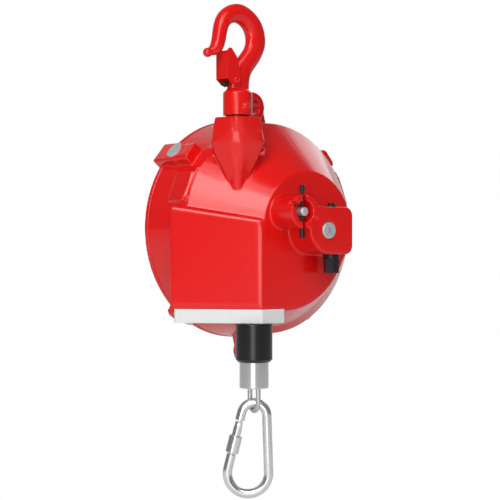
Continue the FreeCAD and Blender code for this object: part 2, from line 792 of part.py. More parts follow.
def make_rope_drum():
    """Spring barrel, grooved cone and front web with the lock holes."""
    under = (rope_r + seat) * math.hypot(1, cone_slope)
    cone_r0 = rope_wrap_r(barrel_front_x) - under
    cone_r1 = rope_wrap_r(web_end_x) - under
    thick = drum_wall * math.hypot(1, cone_slope)
    outer = [(barrel_x, barrel_r), (barrel_front_x, barrel_r), (barrel_front_x, cone_r0), (web_end_x, cone_r1),
             (web_end_x, 0), (barrel_x, 0)]
    hollow = [(barrel_x, 0), (barrel_x, barrel_r - drum_wall), (barrel_front_x, barrel_r - drum_wall),
              (barrel_front_x, cone_r0 - thick), (web_x, rope_wrap_r(web_x) - under - thick),
              (web_x, hub_r), (web_x - 10, hub_r), (web_x - 10, 0)]
    drum = revolve_x(outer).cut(revolve_x(hollow))
    drum = drum.cut(cyl_x(bearing_r + seat / 2, web_x - 10, web_end_x - 4))
    drum = drum.cut(cyl_x(spindle_r + 2, web_x - 11, web_end_x))
    phase = math.degrees(math.atan2(lock_z, lock_y))
    for i in range(lock_hole_count):
        a = math.radians(phase + 360 * i / lock_hole_count)
        y, z = lock_circle_r * math.cos(a), lock_circle_r * math.sin(a)
        drum = drum.cut(cyl_x(lock_hole_r, web_x - 1, web_end_x + 1, y, z))
    return drum


def make_spring_cover():
    """Disc that closes the drum's spring barrel and carries its rear bush."""
    r = barrel_r - drum_wall - seat
    plate = cyl_x(r, barrel_x + gap, barrel_x + gap + spring_cover_t)
    return plate.cut(cyl_x(rear_bush_r + seat / 2, 0, 60))


def make_drum_rear_bush():
    x0 = barrel_x + gap
    return shell_x(rear_bush_r, arbor_r + running, x0, x0 + spring_cover_t)


def make_drum_bearing():
    x1 = web_end_x - 4
    return shell_x(bearing_r, bearing_bore_r + running, x1 - bearing_w + seat, x1 - seat)


def make_mainspring():
    """Flat strip wound in a spiral between the arbor and the drum's barrel, in short straight runs."""
    steps = 24
    inner, outer = [], []
    for i in range(spring_turns * steps + 1):
        a = 2 * math.pi * i / steps
        r = arbor_r + 3 + spring_pitch * i / steps
        for points, offset in ((inner, -spring_t / 2), (outer, spring_t / 2)):
            points.append(((r + offset) * math.cos(a), (r + offset) * math.sin(a)))
    x0 = barrel_x + spring_cover_t + 4 * gap
    return prism_x(inner + outer[::-1], x0, x0 + spring_strip)


def make_spindle():
    """Fixed arbor of the mainspring, stepped down to the worm wheel."""
    arbor_end = web_x - 12
    shaft = revolve_x([(-6, 0), (-6, spindle_r), (cover_t + 3, spindle_r), (cover_t + 3, arbor_r),
                       (arbor_end, arbor_r), (arbor_end, bearing_bore_r), (web_end_x - 3, bearing_bore_r),
                       (web_end_x - 3, spindle_r), (face_x + 6, spindle_r), (face_x + 6, spindle_end_r),
                       (wheel_x + wheel_w / 2 + 5, spindle_end_r), (wheel_x + wheel_w / 2 + 5, 0)])
    keyway = block(wheel_x - 3 - seat, wheel_x + 3 + seat, -2, 2, spindle_end_r - 2, spindle_end_r + 1)
    ring = shell_x(spindle_end_r + 1, spindle_end_r - 1, circlip_x, circlip_x + 1.2)
    return shaft.cut(keyway).cut(ring)


def make_wheel_key():
    return block(wheel_x - 3, wheel_x + 3, -2, 2, spindle_end_r - 2, spindle_end_r + 1.5)


def make_spindle_circlip():
    ring = shell_x(spindle_end_r + 2, spindle_end_r - 1, circlip_x + seat, circlip_x + 1.2 - seat)
    return ring.cut(block(0, 200, -1.5, 1.5, 0, 50))


def make_spindle_front_bush():
    """Flanged bush in the front wall, as wide as the worm wheel that passes through its hole."""
    bush = shell_x(front_bush_r - seat / 2, spindle_r + running, web_end_x + gap * 4, face_x)
    return bush


def make_spindle_rear_bush():
    return shell_x(rear_bush_hole_r - seat / 2, spindle_r + running, -12 + wall, cover_t + 2)


# ---------------------------------------------------------------------------------------------------
# Worm and wheel
# ---------------------------------------------------------------------------------------------------

def make_worm_wheel():
    """Helical teeth that follow the worm's lead, with a gap centred on the worm."""
    tip, root = wheel_pitch_r + gear_module * 0.9, wheel_pitch_r - gear_module * 1.2
    step = 360 / wheel_teeth
    thick = (math.pi * gear_module / 2 - gear_backlash) / wheel_pitch_r
    at_tip = thick * 0.25
    at_root = thick * 0.85
    points = []
    for i in range(wheel_teeth):
        centre = math.radians(step * (i + 0.5))
        for r, a in ((root, -at_root), (tip, -at_tip), (tip, at_tip), (root, at_root)):
            points.append((r * math.cos(centre + a), r * math.sin(centre + a)))
    lead = math.degrees(math.atan(worm_pitch / (2 * math.pi * worm_pitch_r)))
    twist = math.degrees(wheel_w / 2 * math.tan(math.radians(lead)) / wheel_pitch_r)

    def section(x, angle):
        corners = [Vec(x, y, z) for y, z in points]
        return turned(Part.makePolygon(corners + corners[:1]), angle, Vec(1, 0, 0))
    wheel = loft(section(wheel_x - wheel_w / 2, -twist), section(wheel_x + wheel_w / 2, twist))
    wheel = wheel.cut(cyl_x(spindle_end_r + seat / 2, 100, 200))
    return wheel.cut(block(0, 200, -2 - seat, 2 + seat, 0, spindle_end_r + 1.5 + seat))


def make_worm():
    """Worm shaft with its thread, journals, collar and hexagon, in one piece."""
    root = worm_pitch_r - gear_module * 1.1
    tip = worm_pitch_r + gear_module * 0.85
    half_root = (worm_pitch / 2 - gear_backlash) / 2 + gear_module * 1.2 * math.tan(math.radians(20))
    half_tip = 0.45
    inner = root - 0.3
    steps = 16
    sections = []
    for i in range(worm_turns * steps + 1):
        a = 2 * math.pi * i / steps
        out = Vec(math.cos(a), math.sin(a), 0)
        base = Vec(0, 0, worm_pitch * (i / steps - worm_turns / 2 + 0.25))
        corners = [base + out * inner - Vec(0, 0, half_root), base + out * tip - Vec(0, 0, half_tip),
                   base + out * tip + Vec(0, 0, half_tip), base + out * inner + Vec(0, 0, half_root)]
        sections.append(Part.makePolygon(corners + corners[:1]))
    thread = loft(*sections)
    box_low, box_top = -worm_box_left_r, worm_box_top_z
    collar_z = box_low - gap
    shaft = revolve_z([(0, collar_z - 1), (worm_journal_r, collar_z - 1), (worm_journal_r, box_low + wall + 1),
                       (root, box_low + wall + 1), (root, box_top - wall - 1), (worm_shaft_r, box_top - wall - 1),
                       (worm_shaft_r, box_top + 4.3), (0, box_top + 4.3)])
    collar = cyl_z(worm_collar_r, collar_z - worm_collar_h, collar_z)
    head = prism_z(hexagon(worm_hex), collar_z - worm_collar_h - worm_hex_h, collar_z - worm_collar_h)
    ring = cyl_z(worm_shaft_r + 1, box_top + gap, box_top + gap + 1.2).cut(
        cyl_z(worm_shaft_r - 0.6, box_top, box_top + 3))
    worm = fuse(shaft, collar, head, thread).cut(ring)
    return moved(worm, wheel_x, worm_y)


def make_worm_circlip():
    z0 = worm_box_top_z + gap
    ring = cyl_z(worm_shaft_r + 2.2, z0 + seat, z0 + 1.2 - seat).cut(cyl_z(worm_shaft_r - 0.6, z0, z0 + 2))
    return moved(ring.cut(block(-1.5, 1.5, 0, 20, z0 - 1, z0 + 3)), wheel_x, worm_y)


def make_worm_bush():
    low = -worm_box_left_r
    bush = cyl_z(worm_bush_r - seat / 2, low, low + wall).cut(cyl_z(worm_journal_r + running, low, low + wall))
    return moved(bush, wheel_x, worm_y)


def make_grease_plug():
    head = revolve_x([(worm_box_x - 2, 0), (worm_box_x - 2, plug_r), (worm_box_x + 0.6, plug_r),
                      (worm_box_x + 1.2, plug_r - 0.6), (worm_box_x + 1.2, 0)])
    shank = cyl_x(plug_r * 0.55 - seat / 2, worm_box_x - wall, worm_box_x - 1)
    plug = fuse(head, shank).cut(prism_x(hexagon(plug_hex), worm_box_x - 2.5, worm_box_x + 2))
    return moved(plug, 0, plug_y, plug_z)


# ---------------------------------------------------------------------------------------------------
# Drum lock
# ---------------------------------------------------------------------------------------------------

def make_lock_pin():
    inner_end = web_end_x + lock_gap
    tip = revolve_x([(inner_end, 0), (inner_end, lock_pin_r - 1), (inner_end + 1, lock_pin_r),
                     (lock_boss_x - 0.8, lock_pin_r), (lock_boss_x, lock_pin_r - 0.8), (lock_boss_x, 0)])
    bar_x = lock_boss_x - bar_from_end
    tip = tip.cut(Part.makeCylinder(bar_r + seat / 2, 2 * bar_half, Vec(bar_x, 0, -bar_half), Vec(0, 0, 1)))
    return moved(tip, 0, lock_y, lock_z)


def make_lock_bar():
    """Cross bar with a club-shaped knob at each end."""
    bar_x = lock_boss_x - bar_from_end
    profile = [(0, -bar_half), (knob_r * 0.7, -bar_half), (knob_r, -bar_half + 1), (knob_r, -bar_half + 5),
               (bar_r, -bar_half + 8.6), (bar_r, bar_half - 8.6), (knob_r, bar_half - 5),
               (knob_r, bar_half - 1), (knob_r * 0.7, bar_half), (0, bar_half)]
    return moved(revolve_z(profile), bar_x, lock_y, lock_z)


# ---------------------------------------------------------------------------------------------------
# Load line
# ---------------------------------------------------------------------------------------------------

def make_rope_lead():
    return moved(cyl_z(rope_r, ferrule_bottom_z + 12, -gap), wrap_x, -wrap_r)


def make_rubber_bumper():
    edge = 2.5
    profile = [(rope_r + seat, bumper_bottom_z), (bumper_r - edge, bumper_bottom_z), (bumper_r, bumper_bottom_z + edge),
               (bumper_r, bumper_top_z - 1), (bumper_r - 1, bumper_top_z), (rope_r + seat, bumper_top_z)]
    return revolve_z(profile, wrap_x, -wrap_r)


def make_rope_ferrule():
    bottom = ferrule_bottom_z
    profile = [(0, bottom), (ferrule_r - 0.8, bottom), (ferrule_r, bottom + 0.8),
               (ferrule_r, bumper_bottom_z), (rope_r + seat, bumper_bottom_z),
               (rope_r + seat, bottom + 12 - seat), (0, bottom + 12 - seat)]
    ferrule = revolve_z(profile)
    for sign in (1, -1):
        ferrule = ferrule.cut(cyl_z(rope_r + seat, bottom - 1, bottom + 8, sign * loop_half))
    return moved(turned(ferrule, loop_yaw, Vec(0, 0, 1)), wrap_x, -wrap_r)


def make_rope_loop():
    """Both strands out of the ferrule and the round bend between them."""
    centre_z = loop_bottom_z + loop_half
    top = ferrule_bottom_z + 8 - seat
    path = Part.Wire([
        Part.LineSegment(Vec(-loop_half, 0, top), Vec(-loop_half, 0, centre_z)).toShape(),
        Part.Arc(Vec(-loop_half, 0, centre_z), Vec(0, 0, loop_bottom_z), Vec(loop_half, 0, centre_z)).toShape(),
        Part.LineSegment(Vec(loop_half, 0, centre_z), Vec(loop_half, 0, top)).toShape()])
    ring = Part.Wire(Part.makeCircle(rope_r, Vec(-loop_half, 0, top), Vec(0, 0, 1)))
    loop = path.makePipeShell([ring], True, True)
    return moved(turned(loop, loop_yaw, Vec(0, 0, 1)), wrap_x, -wrap_r)


# Carabiner pieces are built flat in the XZ plane, with the centre of the small arc at the origin.

leg_lean = math.asin((bow_arc_r - eye_arc_r) / arc_gap)
loop_yaw = carabiner_yaw + 90 + loop_turn
eye_centre_z = loop_bottom_z + rope_r + hang_gap + wire_r - eye_arc_r


def leg_point(side, distance):
    """A point on the centre line of a leg, measured from its upper end; side is -1 for the gate."""
    start = Vec(side * eye_arc_r * math.cos(leg_lean), 0, eye_arc_r * math.sin(leg_lean))
    return start + leg_dir(side) * distance


def leg_dir(side):
    return Vec(side * math.sin(leg_lean), 0, -math.cos(leg_lean))


def tube(path, radius, start, direction):
    ring = Part.Wire(Part.makeCircle(radius, start, direction))
    return Part.Wire(path).makePipeShell([ring], True, True)


def place_carabiner(shape):
    shape = turned(shape, carabiner_tilt, Vec(0, 1, 0))
    shape = turned(shape, carabiner_yaw, Vec(0, 0, 1))
    return moved(shape, wrap_x, -wrap_r, eye_centre_z)


leg_len = arc_gap * math.cos(leg_lean)
gate_end = gate_start + gate_len


def make_carabiner_body():
    """Bent wire from the hinge tongue over the eye, down the back and round the bow to the nose."""
    hinge_end = leg_point(-1, gate_start - gap)
    upper = leg_point(-1, 0)
    back_top, back_low = leg_point(1, 0), leg_point(1, leg_len)
    low = leg_point(-1, leg_len)
    nose = leg_point(-1, gate_end + 2 * gap)
    path = [Part.LineSegment(hinge_end, upper).toShape(),
            Part.Arc(upper, Vec(0, 0, eye_arc_r), back_top).toShape(),
            Part.LineSegment(back_top, back_low).toShape(),
            Part.Arc(back_low, Vec(0, 0, -arc_gap - bow_arc_r), low).toShape(),
            Part.LineSegment(low, nose).toShape()]
    body = tube(path, wire_r, hinge_end, leg_dir(-1))
    pivot = leg_point(-1, gate_start + gate_start_to_pin)
    root = leg_point(-1, gate_start - 2)
    length = (pivot - root).Length
    tongue = Part.makeBox(length, tongue_t, 6.4, Vec(0, -tongue_t / 2, -3.2))
    tongue = tongue.fuse(Part.makeCylinder(3.2, tongue_t, Vec(length, -tongue_t / 2, 0), Vec(0, 1, 0)))
    tongue = turned(tongue, math.degrees(math.atan2(math.cos(leg_lean), -math.sin(leg_lean))), Vec(0, 1, 0))
    tongue = moved(tongue, root.x, 0, root.z)
    body = body.fuse(tongue)
    body = body.cut(Part.makeCylinder(gate_pin_r + running, 20, pivot - Vec(0, 10, 0), Vec(0, 1, 0)))
    return place_carabiner(body.removeSplitter())


def make_carabiner_gate():
    """Round gate bar, forked over the tongue at its upper end."""
    start, end = leg_point(-1, gate_start), leg_point(-1, gate_end)
    pivot = leg_point(-1, gate_start + gate_start_to_pin)
    bar = Part.makeCylinder(gate_r, gate_len, start, leg_dir(-1))
    room = Part.makeCylinder(3.2 + 1.6, tongue_t + 2 * gap, pivot - Vec(0, tongue_t / 2 + gap, 0), Vec(0, 1, 0))
    upper = Part.makeBox(14, tongue_t + 2 * gap, 10, pivot + Vec(-7, -tongue_t / 2 - gap, 0))
    bar = bar.cut(room).cut(upper)
    knuckle = Part.makeCylinder(gate_start_to_pin, 20, pivot - Vec(0, 10, 0), Vec(0, 1, 0))
    below = Part.makeCylinder(2 * gate_r, gate_len, pivot, leg_dir(-1))
    bar = bar.common(knuckle.fuse(below))
    bar = bar.cut(Part.makeCylinder(gate_pin_r + seat / 2, 20, pivot - Vec(0, 10, 0), Vec(0, 1, 0)))
    return place_carabiner(bar)


def make_gate_rivet():
    pivot = leg_point(-1, gate_start + gate_start_to_pin)
    return place_carabiner(Part.makeCylinder(gate_pin_r, 2 * gate_r, pivot - Vec(0, gate_r, 0), Vec(0, 1, 0)))


def make_screw_sleeve():
    """Knurled locking sleeve on the lower end of the gate."""
    start = leg_point(-1, gate_end - sleeve_len - sleeve_up)
    direction = leg_dir(-1)
    sleeve = Part.makeCylinder(sleeve_r, sleeve_len, start, direction)
    sleeve = sleeve.makeChamfer(0.6, [e for e in sleeve.Edges if e.Closed])
    return place_carabiner(sleeve.cut(Part.makeCylinder(gate_r + running, 40, start - direction, direction)))


# ---------------------------------------------------------------------------------------------------
# Write the pieces
# ---------------------------------------------------------------------------------------------------

def write(name, made):
    solids = made if isinstance(made, list) else [made]
    for solid in solids:
        if not solid.isValid() or len(solid.Solids) != 1:
            print("check", name, solid.isValid(), len(solid.Solids))
    shape = Part.makeCompound(solids) if len(solids) > 1 else solids[0].Solids[0]
    moved(shape, -origin.x, -origin.y, -origin.z).exportStep("parts/" + name + ".step")


PIECES = {
    "suspension_hook": make_hook, "hook_latch": make_hook_latch, "latch_rivet": make_latch_rivet,
    "latch_spring": make_latch_spring, "swivel_stud": make_swivel_stud,
    "socket_cross_pin": make_socket_cross_pin, "thrust_washer": make_thrust_washer,
    "tower_bush": make_tower_bush, "swivel_pin": make_swivel_pin,
    "front_housing": make_front_housing, "rear_cover": make_rear_cover,
    "cover_screws": make_cover_screws, "ear_dowels": make_ear_dowels,
    "rope_guide_plate": make_guide_plate, "guide_plate_screws": make_guide_screws,
    "rope_drum": make_rope_drum, "rope_windings": make_rope_windings,
    "spring_cover": make_spring_cover, "drum_rear_bush": make_drum_rear_bush,
    "drum_bearing": make_drum_bearing, "mainspring": make_mainspring,
    "spindle": make_spindle, "wheel_key": make_wheel_key, "spindle_circlip": make_spindle_circlip,
    "spindle_front_bush": make_spindle_front_bush, "spindle_rear_bush": make_spindle_rear_bush,
    "worm_wheel": make_worm_wheel, "worm": make_worm, "worm_circlip": make_worm_circlip,
    "worm_bush": make_worm_bush, "grease_plug": make_grease_plug,
    "lock_pin": make_lock_pin, "lock_bar": make_lock_bar,
    "rope_lead": make_rope_lead, "rubber_bumper": make_rubber_bumper,
    "rope_ferrule": make_rope_ferrule, "rope_loop": make_rope_loop,
    "carabiner_body": make_carabiner_body, "carabiner_gate": make_carabiner_gate,
    "gate_rivet": make_gate_rivet, "screw_sleeve": make_screw_sleeve,
}

os.makedirs("parts", exist_ok=True)
for piece, make in PIECES.items():
    write(piece, make())
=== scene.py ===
"""Spring balancer for hanging tools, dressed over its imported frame: red castings, steel hardware, rope."""
import bmesh
import bpy
import math
from mathutils import Matrix, Vector


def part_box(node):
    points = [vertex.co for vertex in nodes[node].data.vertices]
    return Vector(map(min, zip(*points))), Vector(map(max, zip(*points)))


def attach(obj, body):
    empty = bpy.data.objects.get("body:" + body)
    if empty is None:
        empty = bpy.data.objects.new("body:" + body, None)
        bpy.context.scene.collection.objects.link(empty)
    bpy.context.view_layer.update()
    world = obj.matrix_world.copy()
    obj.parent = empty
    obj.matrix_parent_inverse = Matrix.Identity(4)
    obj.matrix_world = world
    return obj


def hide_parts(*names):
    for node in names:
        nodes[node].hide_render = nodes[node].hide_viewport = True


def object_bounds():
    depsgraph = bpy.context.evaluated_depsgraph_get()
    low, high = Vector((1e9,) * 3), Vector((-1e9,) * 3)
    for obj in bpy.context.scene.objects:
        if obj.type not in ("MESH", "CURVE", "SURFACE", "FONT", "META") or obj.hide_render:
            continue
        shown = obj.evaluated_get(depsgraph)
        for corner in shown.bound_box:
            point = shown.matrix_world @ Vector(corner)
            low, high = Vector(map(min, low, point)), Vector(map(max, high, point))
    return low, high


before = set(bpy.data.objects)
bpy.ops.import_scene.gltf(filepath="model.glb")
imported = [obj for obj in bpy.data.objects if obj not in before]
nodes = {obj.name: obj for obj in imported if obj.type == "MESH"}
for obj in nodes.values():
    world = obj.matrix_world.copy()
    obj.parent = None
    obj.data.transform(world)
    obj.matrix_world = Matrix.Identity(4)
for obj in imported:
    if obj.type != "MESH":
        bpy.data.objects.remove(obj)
cad_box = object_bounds()
scene = bpy.context.scene
scene.view_settings.view_transform = "Standard"
mm = 0.001


# ---------------------------------------------------------------------------------------------------
# Castings: the front housing and its rear cover, sand cast, ground at the joint and painted gloss red.
# Their edges are cast round, and the paint runs over them in one skin.
# ---------------------------------------------------------------------------------------------------

def shader(name, roughness, metallic=0.0):
    """A new material, its principled shader and its node tree."""
    material = bpy.data.materials.new(name)
    material.use_nodes = True
    tree = material.node_tree
    bsdf = tree.nodes["Principled BSDF"]
    bsdf.inputs["Roughness"].default_value = roughness
    bsdf.inputs["Metallic"].default_value = metallic
    return material, bsdf, tree


def object_noise(tree, scale, detail):
    """Noise in object space, which stays on the piece as it moves."""
    place = tree.nodes.new("ShaderNodeTexCoord")
    noise = tree.nodes.new("ShaderNodeTexNoise")
    noise.inputs["Scale"].default_value = scale
    noise.inputs["Detail"].default_value = detail
    tree.links.new(place.outputs["Object"], noise.inputs["Vector"])
    return noise


def mottled(tree, bsdf, low, high, patches):
    """A base colour that wanders between two near shades."""
    noise = object_noise(tree, patches, detail=3)
    mix = tree.nodes.new("ShaderNodeMix")
    mix.data_type = "RGBA"
    mix.inputs["A"].default_value = (*low, 1)
    mix.inputs["B"].default_value = (*high, 1)
    tree.links.new(noise.outputs["Fac"], mix.inputs["Factor"])
    tree.links.new(mix.outputs["Result"], bsdf.inputs["Base Color"])


def roughened(tree, bsdf, grain, strength, depth):
    """A fine unevenness of the surface."""
    noise = object_noise(tree, grain, detail=4)
    bump = tree.nodes.new("ShaderNodeBump")
    bump.inputs["Strength"].default_value = strength
    bump.inputs["Distance"].default_value = depth
    tree.links.new(noise.outputs["Fac"], bump.inputs["Height"])
    tree.links.new(bump.outputs["Normal"], bsdf.inputs["Normal"])


def coating(name, low, high, roughness, patches, metallic=0.0, bump=None):
    """A material of two near shades, with an optional bump of (grain, strength, depth)."""
    material, bsdf, tree = shader(name, roughness, metallic)
    mottled(tree, bsdf, low, high, patches)
    if bump:
        roughened(tree, bsdf, *bump)
    return material


paint = coating("red gloss paint", (0.76, 0.005, 0.004), (0.81, 0.008, 0.007), roughness=0.16, patches=30,
                bump=(260, 0.12, 0.2 * mm))
same_point = 0.002 * mm


def merged_copy(name, node):
    """A copy of a frame node's mesh with its vertices joined, as a new object."""
    piece = bpy.data.objects.new(name, nodes[node].data.copy())
    scene.collection.objects.link(piece)
    piece.data.materials.clear()
    bm = bmesh.new()
    bm.from_mesh(piece.data)
    bmesh.ops.remove_doubles(bm, verts=bm.verts, dist=same_point)
    bm.to_mesh(piece.data)
    bm.free()
    return piece


def keep_modifiers(piece):
    """Applies the piece's modifiers to its mesh."""
    graph = bpy.context.evaluated_depsgraph_get()
    mesh = bpy.data.meshes.new_from_object(piece.evaluated_get(graph))
    piece.modifiers.clear()
    piece.data = mesh


def all_smooth(piece):
    """Shades every face of the piece smooth."""
    for face in piece.data.polygons:
        face.use_smooth = True


def cast_skin(piece, grain, rounds, share):
    """A casting's skin on a sharp solid: edges and inner corners made round, faces thinned to a share."""
    skin = piece.modifiers.new("skin", "REMESH")
    skin.mode = "VOXEL"
    skin.voxel_size = grain
    soft = piece.modifiers.new("soft", "SMOOTH")
    soft.factor = 0.5
    soft.iterations = rounds
    thin = piece.modifiers.new("thin", "DECIMATE")
    thin.ratio = share
    keep_modifiers(piece)
    all_smooth(piece)


def dress(piece, node, body, coat):
    """Puts the piece in the place of its frame node, on its body, in its coat."""
    piece.data.materials.append(coat)
    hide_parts(node)
    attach(piece, body)


drum_low, drum_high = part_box("rope_drum")
drum_axis = (Vector(drum_low) + Vector(drum_high)) / 2
rim_behind_housing = 6 * mm
rim_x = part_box("front_housing")[0][0] - rim_behind_housing


def at(x, y, z):
    """A place given in millimetres from the drum axis at the rear rim."""
    return Vector((rim_x + x * mm, drum_axis.y + y * mm, drum_axis.z + z * mm))


def new_corners(extruded):
    """The vertices among what an extrusion made."""
    return [v for v in extruded["geom"] if isinstance(v, bmesh.types.BMVert)]


def rounded(bm, width, steps):
    """Rounds a block's edges before it joins a casting."""
    edges = [e for e in bm.edges if e.calc_face_angle(0) > 0.5]
    bmesh.ops.bevel(bm, geom=edges, offset=width * mm, offset_type="OFFSET", segments=steps, profile=0.5,
                    affect="EDGES", clamp_overlap=True, material=-1)
    return bm


def block(size, middle, place, angle):
    """A block of a size around its middle, turned about X by an angle and then set at a place."""
    bm = bmesh.new()
    bmesh.ops.create_cube(bm, size=1)
    bmesh.ops.scale(bm, vec=Vector(size) * mm, verts=bm.verts)
    bmesh.ops.translate(bm, vec=Vector(middle) * mm, verts=bm.verts)
    turn = Matrix.Translation(place) @ Matrix.Rotation(math.radians(angle), 4, "X")
    bmesh.ops.transform(bm, matrix=turn, verts=bm.verts)
    return bm


def skirt_blocks(along, half_width, reach, edge, angles):
    """Rounded blocks on the drum's skirt, one at each angle, with a stretch along the axis and a reach."""
    size = (along[1] - along[0], reach[1] - reach[0], 2 * half_width)
    middle = (sum(along) / 2, sum(reach) / 2, 0)
    return [rounded(block(size, middle, at(0, 0, 0), angle), edge, steps=2) for angle in angles]


# The rope box is a column on a slanted plan, and its top falls towards the front.
box_plan = [(51.8, -121), (123.9, -60.2), (123.9, -31), (100, -31), (51.8, -74)]
box_floor, box_rear_x, box_rear_top = -79.5, 52.4, 22.5
box_top_slope = 14.7 / 71.6
box_edge = 3.5


def rope_box():
    """The rope box, from its floor to its sloping top."""
    bm = bmesh.new()
    floor_face = bm.faces.new([bm.verts.new(at(x, y, box_floor)) for x, y in box_plan])
    for corner in new_corners(bmesh.ops.extrude_face_region(bm, geom=[floor_face])):
        x = (corner.co.x - rim_x) / mm
        corner.co.z = at(0, 0, box_rear_top - box_top_slope * (x - box_rear_x)).z
    bmesh.ops.recalc_face_normals(bm, faces=bm.faces)
    return rounded(bm, box_edge, steps=4)


# An upper ear is a body at the rim, a boss for its screw's dowel and a wider foot. Two flat pads flank them.
upper_ears, pads, right_ear = (140, 40), (158, 22), (-49,)
ear_bodies = skirt_blocks(along=(-5.5, 32), half_width=12.2, reach=(100, 122.4), edge=1.6, angles=upper_ears)
ear_bosses = skirt_blocks(along=(30, 49.5), half_width=10.5, reach=(98, 121.4), edge=0.8, angles=upper_ears)
ear_feet = skirt_blocks(along=(31, 49.5), half_width=14.5, reach=(96, 109), edge=0.8, angles=upper_ears)
skirt_pads = skirt_blocks(along=(34, 60), half_width=16.5, reach=(98, 112.6), edge=0.6, angles=pads)
lower_ear = skirt_blocks(along=(20, 40), half_width=10.5, reach=(98, 121.6), edge=1.6, angles=right_ear)

eye_radius, eye_bore, eye_thickness = 15.8, 8.7, 14
eye_x, eye_reach = 20, 128


def eye_ring(side):
    """The ring around a safety eye's hole, above the drum for side 1 and below it for side -1."""
    ring = bmesh.new()
    for radius in (eye_radius, eye_bore):
        bmesh.ops.create_circle(ring, segments=48, radius=radius * mm)
    bmesh.ops.bridge_loops(ring, edges=ring.edges)
    raised = new_corners(bmesh.ops.extrude_face_region(ring, geom=ring.faces[:]))
    bmesh.ops.translate(ring, vec=(0, 0, eye_thickness * mm), verts=raised)
    bmesh.ops.recalc_face_normals(ring, faces=ring.faces)
    place = Matrix.Translation(at(eye_x, 0, side * eye_reach)) @ Matrix.Rotation(math.pi / 2, 4, "Y")
    bmesh.ops.transform(ring, matrix=place, verts=ring.verts)
    return ring


# The lock's second slot would break into the worm box on its far side, and is filled there.
lock_boss_end = (157.3, -32.9, 15.0)
slot_plug = block(size=(8, 7, 6.5), middle=(-4.2, 14.3, 0), place=at(*lock_boss_end), angle=-30)


def joined(piece, *parts):
    """Puts the shells of several bmeshes into the piece's mesh."""
    bm = bmesh.new()
    bm.from_mesh(piece.data)
    for part in parts:
        mesh = bpy.data.meshes.new("part")
        part.to_mesh(mesh)
        part.free()
        bm.from_mesh(mesh)
        bpy.data.meshes.remove(mesh)
    bm.to_mesh(piece.data)
    bm.free()


def eased(piece, rounds, within):
    """Softens the skin where the casting has a big radius, at the points that within picks."""
    bm = bmesh.new()
    bm.from_mesh(piece.data)
    centre = at(0, 0, 0)
    chosen = [v for v in bm.verts if within(*((v.co - centre) / mm))]
    for _ in range(rounds):
        bmesh.ops.smooth_vert(bm, verts=chosen, factor=0.5, use_axis_x=True, use_axis_y=True, use_axis_z=True)
    bm.to_mesh(piece.data)
    bm.free()


tower_x, tower_y, shoulder_reach = 94.2, -67.4, 45
shoulder_low, shoulder_high = 72, 96


def tower_shoulder(x, y, z):
    """Whether a point lies where the tower under the hook swells out of its neck."""
    return shoulder_low < z < shoulder_high and math.hypot(x - tower_x, y - tower_y) < shoulder_reach


housing_grain, housing_share = ((1.0, 0.28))
housing = merged_copy("housing_casting", "front_housing")
joined(housing, rope_box(), *ear_bodies, *ear_bosses, *ear_feet, *skirt_pads, eye_ring(1), eye_ring(-1),
       *lower_ear, slot_plug)
cast_skin(housing, housing_grain * mm, rounds=3, share=housing_share)
eased(housing, rounds=24, within=tower_shoulder)
dress(housing, "front_housing", "housing", paint)

cover_grain, cover_share = ((1.1, 0.4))
cover = merged_copy("rear_cover_casting", "rear_cover")
cast_skin(cover, cover_grain * mm, rounds=3, share=cover_share)
dress(cover, "rear_cover", "housing", paint)


# ---------------------------------------------------------------------------------------------------
# Suspension hook: a drop forging with a cast socket under it, both painted with the housing. The neck
# blends into the socket, and the hook's rims are round all the way to its turned-out tip.
# ---------------------------------------------------------------------------------------------------

# Each station has the forging's outer and inner edge, across and up from the neck, and half its thickness.
neck = -67.0
hook_stations = (
    ((12.4, -5), (-11.6, -5), 10.5),
    ((12.6, 1), (-11.6, 1), 8.0),
    ((13.2, 10), (-11.6, 12), 7.9),
    ((15.6, 18), (-7.9, 21.2), 7.6),
    ((24.0, 26), (-2.8, 29), 7.5),
    ((34.0, 42), (10.2, 42), 7.5),
    ((34.2, 57), (12.5, 52), 8.0),
    ((27.3, 75), (8.0, 62.8), 8.2),
    ((0.5, 90.6), (-3, 67.5), 8.2),
    ((-26, 76.5), (-14, 62.6), 8.0),
    ((-29.4, 55), (-16.3, 50.5), 7.8),
    ((-31.5, 42), (-20.0, 33), 7.2),
    ((-37.8, 38.4), (-36.2, 30.2), 4.5))
flank_fullness = 0.8


def forging_section(outer, inner, half_thick):
    """An oval of the forging across the chord between its outer and inner edges, as a closed wire."""
    outer, inner = Vector((0, *outer)), Vector((0, *inner))
    across = (outer - inner) / 2
    bm = bmesh.new()
    ring = bmesh.ops.create_circle(bm, segments=16, radius=1)["verts"]
    for vert in ring:
        flank = math.copysign(abs(vert.co.x) ** flank_fullness, vert.co.x)
        vert.co = (outer + inner) / 2 + across * vert.co.y + Vector((half_thick * flank, 0, 0))
    bmesh.ops.scale(bm, vec=(mm, mm, mm), verts=bm.verts)
    bmesh.ops.translate(bm, vec=(0, 0, neck * mm), verts=bm.verts)
    mesh = bpy.data.meshes.new("section")
    bm.to_mesh(mesh)
    bm.free()
    return mesh


forging = bmesh.new()
loops = []
for station in hook_stations:
    known = len(forging.edges)
    forging.from_mesh(forging_section(*station))
    forging.edges.ensure_lookup_table()
    loops.append(forging.edges[known:])
for near, far in zip(loops, loops[1:]):
    bmesh.ops.bridge_loops(forging, edges=near + far)
for end in (loops[0], loops[-1]):
    bmesh.ops.contextual_create(forging, geom=end)
bmesh.ops.recalc_face_normals(forging, faces=forging.faces)
hook = bpy.data.objects.new("suspension_hook_forging", bpy.data.meshes.new("forging"))
scene.collection.objects.link(hook)
forging.to_mesh(hook.data)
forging.free()
smooth = hook.modifiers.new("forged", "SUBSURF")
smooth.levels = smooth.render_levels = 3
keep_modifiers(hook)


